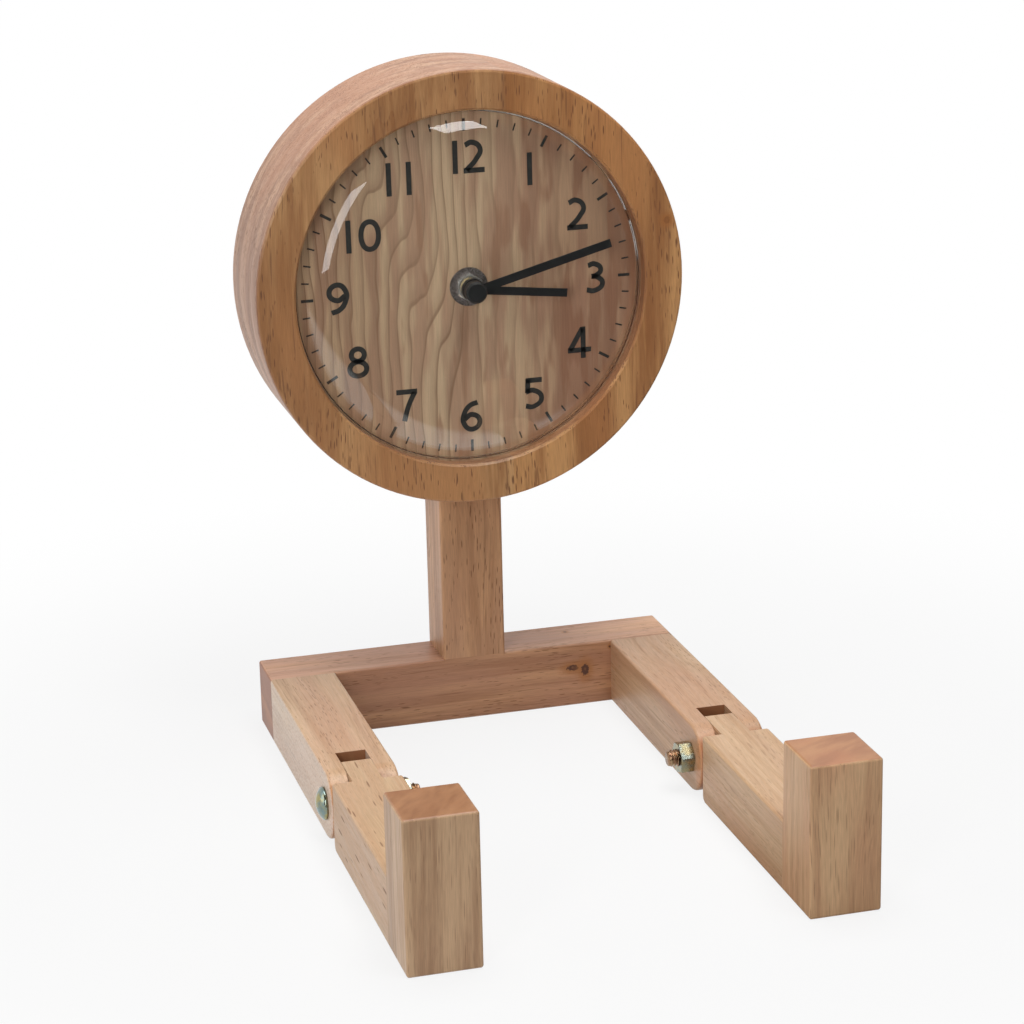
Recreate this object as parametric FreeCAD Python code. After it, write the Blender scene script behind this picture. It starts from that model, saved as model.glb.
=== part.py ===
import FreeCAD, Part
import math
import os
from FreeCAD import Vector

# Wooden desk clock that sits like a seated figure, in millimetres.
# A round clock head stands on a square post. The post stands on a hip beam, two thighs run
# forward from the beam, and each shin hinges on its thigh in a bolted knuckle knee.
# X is to the right, Y runs away from the viewer, Z is up. The clock faces -Y.
# The origin is the middle of the ground that the whole clock covers.

# Limbs
limb_width = 30.0
limb_height = 30.0
beam_length = 191.0
beam_depth = 28.0
thigh_reach = 112.5
shin_reach = 111.0
foot_depth = 30.0
foot_height = 64.0
limb_edge_radius = 1.2
shin_heel_radius = 3.5
post_width = 29.0

# Knuckle knee
tongue_width = 12.7
tongue_side_gap = 0.15
shoulder_gap = 0.4
tongue_tail = 5.8
tongue_swing_gap = 0.4

# Knee bolt with a mushroom head, and its nut
bolt_radius = 3.8
bolt_hole_gap = 0.06
bolt_head_radius = 7.0
bolt_head_rim = 1.2
bolt_head_height = 4.0
bolt_end = 4.5
bolt_tip_chamfer = 0.9
nut_across_flats = 12.4
nut_thickness = 6.0
nut_chamfer_deg = 20.0
nut_turn_deg = 16.0

# Dowels and wood screws
dowel_radius = 4.0
dowel_spacing = 14.0
hip_dowel_length = 40.0
foot_dowel_length = 36.0
dowel_end_gap = 0.5
screw_radius = 2.0
screw_head_radius = 4.0
screw_head_height = 2.6
screw_spacing = 13.0
screw_point = 4.0
post_screw_length = 55.0
case_screw_length = 40.0
post_screw_sink = 9.0
case_screw_sink = 6.0
screw_head_gap = 0.5
press_gap = 0.03

# Clock case, a turned wooden ring
head_height = 205.4
case_radius = 96.5
case_depth = 55.5
case_back_overhang = 11.5
case_edge_radius = 1.2
case_edge_steps = 2
case_back_chamfer = 1.5
lip_radius = 79.0
lip_depth = 7.0
lip_chamfer = 1.0
bore_radius = 82.0

# Domed glass and dial
glass_apex = 8.0
glass_flat_radius = 24.0
glass_shoulder_width = 18.7
glass_shoulder_drop = 3.6
glass_shoulder_steps = 2
glass_thickness = 2.0
glass_edge_gap = 0.3
dial_depth = 9.3
dial_edge_gap = 0.4
dial_face_thickness = 0.3
dial_board_thickness = 3.0
dial_hole_gap = 0.3
hoop_thickness = 3.0
hoop_width = 7.0
hoop_split = 6.0

# Stack on the dial centre, heights in front of the dial face
washer_radius = 8.6
washer_thickness = 0.8
dial_nut_across_flats = 11.0
dial_nut_thickness = 2.4
rubber_radius = 8.0
rubber_thickness = 1.0
bush_radius = 4.0
bush_front = 5.6
bush_bore = 3.0
bush_flange_radius = 6.5
bush_flange = 1.0
running_gap = 0.05
hour_pipe_wall = 1.2
hour_pipe_front = 8.4
hour_hand_seat = 6.2
hour_boss_radius = 5.0
hour_boss_height = 2.8
hour_blade_rise = 1.0
hour_hand_reach = 43.0
minute_hand_lip_gap = 14.0
hand_width = 3.7
hand_thickness = 0.5
minute_hand_seat = 9.8
minute_hand_bend = 2.0
minute_pin_radius = 1.2
minute_boss_height = 1.4
cap_radius = 4.8
cap_height = 3.4
cap_edge_radius = 0.8
shown_hour = 3
shown_minute = 12.6

# Quartz movement
movement_size = 56.0
movement_depth = 17.0
movement_wall = 1.2
movement_corner_radius = 5.0
cover_recess = 0.25
battery_radius = 7.25
battery_length = 48.5
battery_tip_radius = 2.7
battery_tip_length = 1.0
battery_gap = 0.2
contact_thickness = 0.4
contact_width = 9.0
knob_radius = 6.0
knob_thickness = 3.0
knob_lift = 0.3
knob_shaft_radius = 1.5
knob_notches = 16
knob_notch_depth = 0.6

# Wheels of the movement
pressure_deg = 20.0
addendum_share = 0.8
dedendum_share = 1.15
backlash_share = 0.22
motion_distance = 10.5
cannon_teeth = 10
motion_teeth = 30
motion_pinion_teeth = 8
hour_teeth = 32
knob_teeth = 10
centre_teeth = 60
centre_pitch_radius = 9.6
wheel_thickness = 1.0
pinion_thickness = 1.8
wheel_layer_gap = 0.5
stud_radius = 0.8
pivot_radius = 0.9
pivot_bearing_radius = 2.0

# One overrun for every cut
overrun = 2.0

# Places worked out from the sizes above
total_depth = case_back_overhang + beam_depth + thigh_reach + shin_reach + foot_depth
case_back_y = total_depth / 2
case_front_y = case_back_y - case_depth
beam_back_y = case_back_y - case_back_overhang
beam_front_y = beam_back_y - beam_depth
beam_mid_y = (beam_back_y + beam_front_y) / 2
knee_y = beam_front_y - thigh_reach
foot_back_y = knee_y - shin_reach
foot_front_y = foot_back_y - foot_depth
cheek_radius = limb_height / 2
knee_z = limb_height / 2
shoulder_y = knee_y - cheek_radius - shoulder_gap
slot_width = tongue_width + tongue_side_gap * 2
tongue_swing = math.hypot(tongue_tail, cheek_radius)
slot_floor_y = knee_y + tongue_swing + tongue_swing_gap
leg_x = (beam_length - limb_width) / 2
post_bottom_z = limb_height

rubber_front = dial_depth + dial_face_thickness + dial_board_thickness
movement_front = rubber_front + rubber_thickness
movement_half = movement_size / 2
bay_height = battery_radius * 2 + battery_gap * 2
bay_top = bay_height + movement_wall - movement_half
battery_z = bay_top - battery_gap - battery_radius
battery_y = movement_front + movement_wall + battery_gap + battery_radius
cover_front = movement_front + movement_depth - movement_wall
hour_wheel_y = movement_front + movement_wall + wheel_layer_gap
motion_wheel_y = hour_wheel_y + wheel_thickness + wheel_layer_gap
centre_wheel_y = motion_wheel_y + pinion_thickness + wheel_layer_gap
hour_pipe_radius = bush_bore - running_gap
hour_pipe_bore = hour_pipe_radius - hour_pipe_wall
arbor_radius = hour_pipe_bore - running_gap
knob_x = motion_distance
knob_z = motion_distance
minute_hand_reach = lip_radius - minute_hand_lip_gap
hour_turn = math.radians(30 * shown_hour + shown_minute / 2)
minute_turn = math.radians(6 * shown_minute)

X_AXIS = Vector(1, 0, 0)
Y_AXIS = Vector(0, 1, 0)
Z_AXIS = Vector(0, 0, 1)


def block(x0, x1, y0, y1, z0, z1):
    return Part.makeBox(x1 - x0, y1 - y0, z1 - z0, Vector(x0, y0, z0))


def rod(start, direction, radius, length):
    return Part.makeCylinder(radius, length, start, direction)


def tube(start, direction, outer, inner, length):
    return rod(start, direction, outer, length).cut(rod(start, direction, inner, length))


def edges_along(shape, direction):
    """The straight edges that run along a direction."""
    found = []
    for edge in shape.Edges:
        if isinstance(edge.Curve, Part.Line):
            if edge.tangentAt(edge.FirstParameter).cross(direction).Length < 0.001:
                found.append(edge)
    return found


def turned(points):
    """A solid turned about the head's axis from a closed outline of (radius, depth) points."""
    corners = [Vector(r, depth, 0) for r, depth in points]
    face = Part.Face(Part.makePolygon(corners + corners[:1]))
    return face.revolve(Vector(0, 0, 0), Y_AXIS, 360)


def hexagon(across_flats, y0, thickness):
    """A hexagonal bar along Y with two flats upright."""
    corner = across_flats / math.sqrt(3)
    points = []
    for i in range(6):
        turn = math.radians(60 * i)
        points.append(Vector(corner * math.sin(turn), y0, corner * math.cos(turn)))
    face = Part.Face(Part.makePolygon(points + points[:1]))
    return face.extrude(Y_AXIS * thickness)


def in_head(shape, x=0.0, z=0.0):
    """Moves a piece made about the head's axis to its place in the clock."""
    shape.translate(Vector(x, case_front_y, head_height + z))
    return shape


def mirrored_pair(shape):
    """A piece of the right side together with its mirror image on the left."""
    return Part.makeCompound([shape, shape.mirror(Vector(0, 0, 0), X_AXIS)])


# Hip beam, post and the dowels and screws that join them

def dowel_holes(x, y, length):
    holes = []
    for side in (-1, 1):
        start = Vector(x + side * dowel_spacing / 2, y - length / 2 - dowel_end_gap, knee_z)
        holes.append(rod(start, Y_AXIS, dowel_radius + press_gap, length + dowel_end_gap * 2))
    return holes


def dowel_pair(x, y, length):
    return [rod(Vector(x + side * dowel_spacing / 2, y - length / 2, knee_z), Y_AXIS, dowel_radius, length)
            for side in (-1, 1)]


def wood_screw(x, y, z, direction, length):
    """A screw whose cylindrical head rests at the given point, with its shank along direction."""
    seat = Vector(x, y, z)
    head = rod(seat - direction * screw_head_height, direction, screw_head_radius, screw_head_height)
    shank = rod(seat, direction, screw_radius, length - screw_point)
    tip = Part.makeCone(screw_radius, 0, screw_point, seat + direction * (length - screw_point), direction)
    return head.fuse([shank, tip]).removeSplitter()


def screw_hole(x, y, z, direction, length):
    """The hole of a screw, with the round sink of its head opening backwards."""
    seat = Vector(x, y, z)
    shank = rod(seat - direction * overrun, direction, screw_radius + press_gap, length + overrun)
    sink_length = post_screw_sink + case_screw_sink
    sink = rod(seat - direction * sink_length, direction, screw_head_radius + screw_head_gap, sink_length)
    return shank.fuse(sink)


def rounded_bar(x0, x1, y0, y1, z0, z1, direction):
    """A bar whose edges along one direction are rounded."""
    bar = block(x0, x1, y0, y1, z0, z1)
    return bar.makeFillet(limb_edge_radius, edges_along(bar, direction))


def hip_beam():
    """The beam is rounded all over, but full where the thighs and the post are glued on flush."""
    beam = block(-beam_length / 2, beam_length / 2, beam_front_y, beam_back_y, 0, limb_height)
    beam = beam.makeFillet(limb_edge_radius, beam.Edges)
    half_limb = limb_width / 2
    half_post = post_width / 2
    seats = [rounded_bar(x - half_limb, x + half_limb, beam_front_y, beam_mid_y, 0, limb_height, Y_AXIS)
             for x in (-leg_x, leg_x)]
    seats.append(rounded_bar(-half_post, half_post, beam_front_y, beam_back_y, knee_z, limb_height, Z_AXIS))
    beam = beam.fuse(seats).removeSplitter()
    for x in (-leg_x, leg_x):
        beam = beam.cut(dowel_holes(x, beam_front_y, hip_dowel_length))
    for x in (-screw_spacing / 2, screw_spacing / 2):
        beam = beam.cut(screw_hole(x, beam_mid_y, post_screw_sink, Z_AXIS, post_screw_length))
    return beam


def hip_dowels():
    return Part.makeCompound(dowel_pair(-leg_x, beam_front_y, hip_dowel_length)
                             + dowel_pair(leg_x, beam_front_y, hip_dowel_length))


def post():
    half = post_width / 2
    bar = block(-half, half, beam_front_y, beam_back_y, post_bottom_z, head_height)
    bar = bar.makeFillet(limb_edge_radius, edges_along(bar, Z_AXIS))
    case_round = rod(Vector(0, beam_front_y - overrun, head_height), Y_AXIS, case_radius + press_gap,
                     beam_depth + overrun * 2)
    bar = bar.cut(case_round)
    for x in (-screw_spacing / 2, screw_spacing / 2):
        bar = bar.cut(screw_hole(x, beam_mid_y, post_screw_sink, Z_AXIS, post_screw_length))
        bar = bar.cut(screw_hole(x, beam_mid_y, case_seat_z(x), -Z_AXIS, case_screw_length))
    return bar


def post_screws():
    return Part.makeCompound([wood_screw(x, beam_mid_y, post_screw_sink, Z_AXIS, post_screw_length)
                              for x in (-screw_spacing / 2, screw_spacing / 2)])


def case_seat_z(x):
    """The height at which a case screw's head rests, below the bore of the case."""
    return head_height - math.sqrt(bore_radius ** 2 - x ** 2) - case_screw_sink


def case_screws():
    return Part.makeCompound([wood_screw(x, beam_mid_y, case_seat_z(x), -Z_AXIS, case_screw_length)
                              for x in (-screw_spacing / 2, screw_spacing / 2)])


# Legs: each thigh ends in a fork with round cheeks, and the shin's tongue turns in it on a bolt

def thigh(x):
    side = x - limb_width / 2
    corner_back_top = Vector(side, beam_front_y, limb_height)
    corner_round_top = Vector(side, knee_y, limb_height)
    cheek_end = Vector(side, knee_y - cheek_radius, knee_z)
    corner_round_low = Vector(side, knee_y, 0)
    corner_back_low = Vector(side, beam_front_y, 0)
    outline = Part.Wire([
        Part.LineSegment(corner_back_top, corner_round_top).toShape(),
        Part.Arc(corner_round_top, cheek_end, corner_round_low).toShape(),
        Part.LineSegment(corner_round_low, corner_back_low).toShape(),
        Part.LineSegment(corner_back_low, corner_back_top).toShape()])
    bar = Part.Face(outline).extrude(X_AXIS * limb_width)
    rim = [edge for edge in bar.Edges
           if abs(edge.BoundBox.XLength) < press_gap and edge.BoundBox.YLength > limb_edge_radius]
    bar = bar.makeFillet(limb_edge_radius, rim)
    slot = block(x - slot_width / 2, x + slot_width / 2, knee_y - cheek_radius - overrun, slot_floor_y,
                 -overrun, limb_height + overrun)
    bar = bar.cut(slot)
    bar = bar.cut(rod(Vector(side - overrun, knee_y, knee_z), X_AXIS, bolt_radius + bolt_hole_gap,
                      limb_width + overrun * 2))
    return bar.cut(dowel_holes(x, beam_front_y, hip_dowel_length))


def shin(x):
    bar = block(x - limb_width / 2, x + limb_width / 2, foot_back_y, shoulder_y, 0, limb_height)
    heel = [edge for edge in edges_along(bar, X_AXIS)
            if edge.BoundBox.ZMax < press_gap and edge.BoundBox.YMin > knee_y - limb_height]
    bar = bar.makeFillet(shin_heel_radius, heel)
    heel_lines = [edge for edge in edges_along(bar, X_AXIS) if edge.BoundBox.ZMax < knee_z]
    rim = [edge for edge in bar.Edges if edge.BoundBox.YMax > foot_back_y + overrun
           and not any(edge.isSame(line) for line in heel_lines)]
    bar = bar.makeFillet(limb_edge_radius, rim)
    tongue = block(x - tongue_width / 2, x + tongue_width / 2, shoulder_y - shin_heel_radius,
                   knee_y + tongue_tail, 0, limb_height)
    bar = bar.fuse(tongue).removeSplitter()
    bolt_hole = rod(Vector(x - limb_width / 2, knee_y, knee_z), X_AXIS, bolt_radius + bolt_hole_gap,
                    limb_width)
    bar = bar.cut(bolt_hole)
    return bar.cut(dowel_holes(x, foot_back_y, foot_dowel_length))


def foot(x):
    """The foot is rounded all over, but full where the shin is glued on flush."""
    foot_block = block(x - limb_width / 2, x + limb_width / 2, foot_front_y, foot_back_y, 0, foot_height)
    foot_block = foot_block.makeFillet(limb_edge_radius, foot_block.Edges)
    seat = rounded_bar(x - limb_width / 2, x + limb_width / 2, foot_back_y - limb_width / 2, foot_back_y,
                       0, limb_height, Y_AXIS)
    foot_block = foot_block.fuse(seat).removeSplitter()
    return foot_block.cut(dowel_holes(x, foot_back_y, foot_dowel_length))


def foot_dowels(x):
    return Part.makeCompound(dowel_pair(x, foot_back_y, foot_dowel_length))


def knee_bolts():
    """Right bolt with its domed head on the outer side, and its mirror image."""
    outer = beam_length / 2
    head_face = Vector(outer, knee_y, knee_z)
    rise = bolt_head_height - bolt_head_rim
    dome_radius = (bolt_head_radius ** 2 + rise ** 2) / (2 * rise)
    rim = rod(head_face, X_AXIS, bolt_head_radius, bolt_head_height)
    dome_centre = Vector(outer + bolt_head_height - dome_radius, knee_y, knee_z)
    head = rim.common(Part.makeSphere(dome_radius, dome_centre))
    shank_length = limb_width + nut_thickness + bolt_end
    shank = rod(head_face - X_AXIS * shank_length, X_AXIS, bolt_radius, shank_length)
    tip = [edge for edge in shank.Edges if edge.BoundBox.XMax < outer - limb_width]
    shank = shank.makeChamfer(bolt_tip_chamfer, tip)
    return mirrored_pair(head.fuse(shank).removeSplitter())


def hex_nut(across_flats, thickness, bore):
    """A chamfered hexagonal nut along Y that starts at zero."""
    corner = across_flats / math.sqrt(3)
    drop = (corner - across_flats / 2) * math.tan(math.radians(nut_chamfer_deg))
    flat = across_flats / 2
    barrel = turned([(0, 0), (flat, 0), (corner, drop),
                     (corner, thickness - drop), (flat, thickness), (0, thickness)])
    body = hexagon(across_flats, 0, thickness).common(barrel)
    return body.cut(rod(Vector(0, -overrun, 0), Y_AXIS, bore, thickness + overrun * 2))


def knee_nuts():
    nut = hex_nut(nut_across_flats, nut_thickness, bolt_radius + press_gap)
    nut.rotate(Vector(0, 0, 0), Z_AXIS, 90)
    nut.rotate(Vector(0, 0, 0), X_AXIS, nut_turn_deg)
    nut.translate(Vector(beam_length / 2 - limb_width, knee_y, knee_z))
    return mirrored_pair(nut)


# Clock head: case, glass, dial and the hoop that holds them in

def case():
    """Turned ring with a lip in front of the glass and a rounded front rim."""
    back = case_back_chamfer
    points = [(lip_radius, lip_chamfer), (lip_radius + lip_chamfer, 0)]
    for i in range(case_edge_steps + 1):
        turn = math.pi / 2 * i / case_edge_steps
        r = case_radius - case_edge_radius * (1 - math.sin(turn))
        points.append((r, case_edge_radius * (1 - math.cos(turn))))
    points += [(case_radius, case_depth - back), (case_radius - back, case_depth), (bore_radius, case_depth),
               (bore_radius, lip_depth), (lip_radius, lip_depth)]
    ring = in_head(turned(points))
    for x in (-screw_spacing / 2, screw_spacing / 2):
        ring = ring.cut(screw_hole(x, beam_mid_y, case_seat_z(x), -Z_AXIS, case_screw_length))
    return ring


def glass_skin(inset):
    """Outline of the bulged glass from its middle to the back of the lip, inset from outside.
    The shoulder leaves the gentle slope of the middle without a kink."""
    shoulder_start = lip_radius - glass_edge_gap - glass_shoulder_width
    start_slope = math.atan2(glass_shoulder_drop, shoulder_start - glass_flat_radius)
    start_depth = glass_shoulder_drop - glass_apex
    down = lip_depth - start_depth
    chord_slope = math.atan2(down, glass_shoulder_width)
    shoulder_radius = math.hypot(glass_shoulder_width, down) / (2 * math.sin(chord_slope - start_slope))
    end_slope = 2 * chord_slope - start_slope
    points = [(0, -glass_apex, 0), (glass_flat_radius, -glass_apex, start_slope / 2)]
    for i in range(glass_shoulder_steps + 1):
        slope = start_slope + (end_slope - start_slope) * i / glass_shoulder_steps
        r = shoulder_start + shoulder_radius * (math.sin(slope) - math.sin(start_slope))
        depth = start_depth + shoulder_radius * (math.cos(start_slope) - math.cos(slope))
        points.append((r, depth, slope))
    return [(r - inset * math.sin(slope), depth + inset * math.cos(slope)) for r, depth, slope in points]


def glass():
    """A bulged glass whose flange bears on the back of the lip."""
    outer = glass_skin(0)
    inner = glass_skin(glass_thickness)
    edge = bore_radius - glass_edge_gap
    back = lip_depth + glass_thickness
    rim = [(edge, lip_depth), (edge, back), (inner[-1][0], back)]
    return in_head(turned(outer + rim + inner[::-1]))


def dial_disc(depth, thickness):
    radius = bore_radius - dial_edge_gap
    disc = rod(Vector(0, depth, 0), Y_AXIS, radius, thickness)
    hole = rod(Vector(0, depth - overrun, 0), Y_AXIS, bush_radius + dial_hole_gap, thickness + overrun * 2)
    return disc.cut(hole)


def dial_face():
    return in_head(dial_disc(dial_depth, dial_face_thickness))


def dial_board():
    return in_head(dial_disc(dial_depth + dial_face_thickness, dial_board_thickness))


def retaining_hoop():
    """A split hoop sprung into the bore behind the dial board."""
    outer = bore_radius - press_gap
    hoop = tube(Vector(0, rubber_front, 0), Y_AXIS, outer, outer - hoop_thickness, hoop_width)
    split_back = rubber_front + hoop_width + overrun
    split = block(-hoop_split / 2, hoop_split / 2, rubber_front - overrun, split_back,
                  0, case_radius)
    return in_head(hoop.cut(split))


# Stack on the dial centre: bush, rubber, washer, nut and hands

def threaded_bush():
    """Brass bush of the movement, with its flange inside the front shell."""
    front = dial_depth - bush_front
    back = movement_front + movement_wall
    sleeve = tube(Vector(0, front, 0), Y_AXIS, bush_radius, bush_bore, back - front)
    flange = tube(Vector(0, movement_front, 0), Y_AXIS, bush_flange_radius, bush_bore, bush_flange)
    return in_head(sleeve.fuse(flange).removeSplitter())


def rubber_washer():
    ring = tube(Vector(0, rubber_front, 0), Y_AXIS, rubber_radius, bush_radius + press_gap, rubber_thickness)
    return in_head(ring)


def dial_washer():
    front = dial_depth - washer_thickness
    ring = tube(Vector(0, front, 0), Y_AXIS, washer_radius, bush_radius + press_gap, washer_thickness)
    return in_head(ring)


def dial_nut():
    nut = hex_nut(dial_nut_across_flats, dial_nut_thickness, bush_radius + press_gap)
    nut.translate(Vector(0, dial_depth - washer_thickness - dial_nut_thickness, 0))
    return in_head(nut)


def hand_blade(depth, reach, turn, bend):
    """A straight bar from the axis towards 12, its end bent back towards the dial, turned clockwise."""
    blade = block(-hand_width / 2, hand_width / 2, depth, depth + hand_thickness, 0, reach)
    blade.rotate(Vector(0, depth, 0), X_AXIS, -math.degrees(math.atan2(bend, reach)))
    blade.rotate(Vector(0, 0, 0), Y_AXIS, math.degrees(turn))
    return blade


def hour_hand():
    back = dial_depth - hour_hand_seat
    front = back - hour_boss_height
    boss = rod(Vector(0, front, 0), Y_AXIS, hour_boss_radius, hour_boss_height)
    blade = hand_blade(front + hour_blade_rise, hour_hand_reach, hour_turn, 0)
    hand = boss.fuse(blade).removeSplitter()
    bore = rod(Vector(0, front - overrun, 0), Y_AXIS, hour_pipe_radius + press_gap,
               hour_boss_height + overrun * 2)
    return in_head(hand.cut(bore))


def minute_hand():
    back = dial_depth - minute_hand_seat
    front = back - minute_boss_height
    boss = rod(Vector(0, front, 0), Y_AXIS, cap_radius, minute_boss_height)
    blade = hand_blade(front + hand_thickness, minute_hand_reach, minute_turn, minute_hand_bend)
    hand = boss.fuse(blade).removeSplitter()
    bore = rod(Vector(0, front - overrun, 0), Y_AXIS, minute_pin_radius + press_gap,
               minute_boss_height + overrun * 2)
    return in_head(hand.cut(bore))


def minute_cap():
    back = dial_depth - minute_hand_seat - minute_boss_height
    cap = rod(Vector(0, back - cap_height, 0), Y_AXIS, cap_radius, cap_height)
    front_rim = [edge for edge in cap.Edges if edge.BoundBox.YMax < back - cap_height + press_gap]
    cap = cap.makeChamfer(cap_edge_radius, front_rim)
    hole = rod(Vector(0, back - cap_height / 2, 0), Y_AXIS, minute_pin_radius + press_gap, cap_height)
    return in_head(cap.cut(hole))


# Quartz movement: shell, cover, wheels, setting knob, battery and contacts

def involute(angle):
    return math.tan(angle) - angle


def gear(teeth, pitch_radius, y, thickness, bore, phase=0.0):
    """An involute wheel about Y. phase is the turn of one tooth's middle from +X towards +Z."""
    module = 2 * pitch_radius / teeth
    tip = pitch_radius + module * addendum_share
    root = pitch_radius - module * dedendum_share
    base = pitch_radius * math.cos(math.radians(pressure_deg))
    start = max(base, root)
    half_at_pitch = (math.pi / 2 - backlash_share) / teeth
    spread = half_at_pitch + involute(math.radians(pressure_deg))
    flank = [(root, spread - involute(math.acos(base / start))),
             (tip, spread - involute(math.acos(base / tip)))]
    points = []
    for i in range(teeth):
        middle = phase + 2 * math.pi * i / teeth
        for r, half in flank:
            points.append(Vector(r * math.cos(middle - half), y, r * math.sin(middle - half)))
        for r, half in reversed(flank):
            points.append(Vector(r * math.cos(middle + half), y, r * math.sin(middle + half)))
    wheel = Part.Face(Part.makePolygon(points + points[:1])).extrude(Y_AXIS * thickness)
    if bore:
        wheel = wheel.cut(rod(Vector(0, y - overrun, 0), Y_AXIS, bore, thickness + overrun * 2))
    return wheel


def meshing_phase(phase, teeth, mate_teeth, direction):
    """The mate's phase that puts its gap on the first wheel's tooth, seen along direction."""
    offset = ((direction - phase) * teeth / (2 * math.pi)) % 1
    return direction + math.pi + (offset + 1 / 2) * 2 * math.pi / mate_teeth


cannon_radius = motion_distance * cannon_teeth / (cannon_teeth + motion_teeth)
motion_radius = motion_distance - cannon_radius
motion_pinion_radius = motion_distance * motion_pinion_teeth / (motion_pinion_teeth + hour_teeth)
hour_radius = motion_distance - motion_pinion_radius
knob_pinion_radius = motion_distance * knob_teeth / (knob_teeth + motion_teeth)
up = math.pi / 2
motion_phase = meshing_phase(up, cannon_teeth, motion_teeth, up)
motion_pinion_phase = meshing_phase(up, hour_teeth, motion_pinion_teeth, up)
knob_phase = meshing_phase(motion_phase, motion_teeth, knob_teeth, 0)


def movement_outline(inset, z_low, y, depth):
    """A square block of the movement, drawn in by inset, above the height z_low."""
    half = movement_half - inset
    body = block(-half, half, y, y + depth, -half, half)
    radius = movement_corner_radius - inset
    body = body.makeFillet(radius, edges_along(body, Y_AXIS))
    return body.common(block(-half, half, y, y + depth, z_low, half))


def movement_shell():
    """Open tray with a partition between the wheels and the battery bay."""
    height = movement_depth - movement_wall
    tray = movement_outline(0, -movement_half, movement_front, height)
    inner_y = movement_front + movement_wall
    chamber = movement_outline(movement_wall, bay_top + movement_wall, inner_y, height)
    bay = block(movement_wall - movement_half, movement_half - movement_wall, inner_y, inner_y + height,
                movement_wall - movement_half, bay_top)
    tray = tray.cut([chamber, bay])
    stud = rod(Vector(0, inner_y, motion_distance), Y_AXIS, stud_radius,
               centre_wheel_y - wheel_layer_gap / 2 - inner_y)
    knob_bearing = tube(Vector(knob_x, inner_y, knob_z), Y_AXIS, pivot_bearing_radius,
                        pivot_radius + running_gap, wheel_thickness)
    tray = tray.fuse([stud, knob_bearing]).removeSplitter()
    hole = rod(Vector(0, movement_front - overrun, 0), Y_AXIS, bush_radius + press_gap,
               movement_wall + overrun * 2)
    recess = rod(Vector(0, movement_front, 0), Y_AXIS, bush_flange_radius + press_gap,
                 bush_flange + press_gap)
    return in_head(tray.cut([hole, recess]))


def movement_cover():
    """Lid over the wheels. The battery bay stays open."""
    lid = movement_outline(cover_recess, bay_top, cover_front, movement_wall)
    bearing = tube(Vector(0, cover_front - pinion_thickness, 0), Y_AXIS, pivot_bearing_radius,
                   pivot_radius + running_gap, pinion_thickness)
    lid = lid.fuse(bearing).removeSplitter()
    knob_hole = rod(Vector(knob_x, cover_front - overrun, knob_z), Y_AXIS, knob_shaft_radius + running_gap,
                    movement_wall + overrun * 2)
    return in_head(lid.cut(knob_hole))


def minute_arbor():
    """Arbor through the hour pipe, with the cannon pinion and the pin that takes the minute hand."""
    pin_front = dial_depth - minute_hand_seat - minute_boss_height - cap_height / 3
    arbor_front = dial_depth - minute_hand_seat
    shoulder = cover_front - pinion_thickness - running_gap * 2
    arbor = rod(Vector(0, arbor_front, 0), Y_AXIS, arbor_radius, shoulder - arbor_front)
    pin = rod(Vector(0, pin_front, 0), Y_AXIS, minute_pin_radius, arbor_front - pin_front)
    pivot = rod(Vector(0, shoulder, 0), Y_AXIS, pivot_radius, pinion_thickness)
    cannon = gear(cannon_teeth, cannon_radius, motion_wheel_y, pinion_thickness, 0, phase=up)
    return in_head(arbor.fuse([pin, pivot, cannon]).removeSplitter())


def centre_wheel():
    return in_head(gear(centre_teeth, centre_pitch_radius, centre_wheel_y, wheel_thickness,
                        arbor_radius + press_gap))


def motion_wheel():
    bore = stud_radius + running_gap
    wheel = gear(motion_teeth, motion_radius, motion_wheel_y, wheel_thickness, bore, phase=motion_phase)
    pinion_y = hour_wheel_y - wheel_layer_gap / 2
    pinion = gear(motion_pinion_teeth, motion_pinion_radius, pinion_y, motion_wheel_y - pinion_y, bore,
                  phase=motion_pinion_phase)
    return in_head(wheel.fuse(pinion).removeSplitter(), z=motion_distance)


def hour_wheel():
    front = dial_depth - hour_pipe_front
    wheel = gear(hour_teeth, hour_radius, hour_wheel_y, wheel_thickness, hour_pipe_bore, phase=up)
    pipe = tube(Vector(0, front, 0), Y_AXIS, hour_pipe_radius, hour_pipe_bore, hour_wheel_y - front)
    return in_head(wheel.fuse(pipe).removeSplitter())


def setting_knob():
    """Grooved knob behind the cover, its shaft, and the pinion that turns the motion wheel."""
    knob_y = movement_front + movement_depth + knob_lift
    rim = []
    for i in range(knob_notches * 2):
        turn = math.pi * i / knob_notches
        r = knob_radius - knob_notch_depth * (i % 2)
        rim.append(Vector(r * math.cos(turn), knob_y, r * math.sin(turn)))
    disc = Part.Face(Part.makePolygon(rim + rim[:1])).extrude(Y_AXIS * knob_thickness)
    shaft = rod(Vector(0, motion_wheel_y, 0), Y_AXIS, knob_shaft_radius, knob_y - motion_wheel_y)
    pivot_y = movement_front + movement_wall + wheel_layer_gap
    pivot = rod(Vector(0, pivot_y, 0), Y_AXIS, pivot_radius, motion_wheel_y - pivot_y)
    pinion = gear(knob_teeth, knob_pinion_radius, motion_wheel_y, pinion_thickness, 0, phase=knob_phase)
    return in_head(disc.fuse([shaft, pivot, pinion]).removeSplitter(), x=knob_x, z=knob_z)


def battery():
    """AA cell lying across the bay, its raised end to the left."""
    half = battery_length / 2
    can = rod(Vector(-half, battery_y, battery_z), X_AXIS, battery_radius, battery_length)
    tip = rod(Vector(-half - battery_tip_length, battery_y, battery_z), X_AXIS, battery_tip_radius,
              battery_tip_length + battery_tip_length)
    return in_head(can.fuse(tip).removeSplitter())


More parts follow.
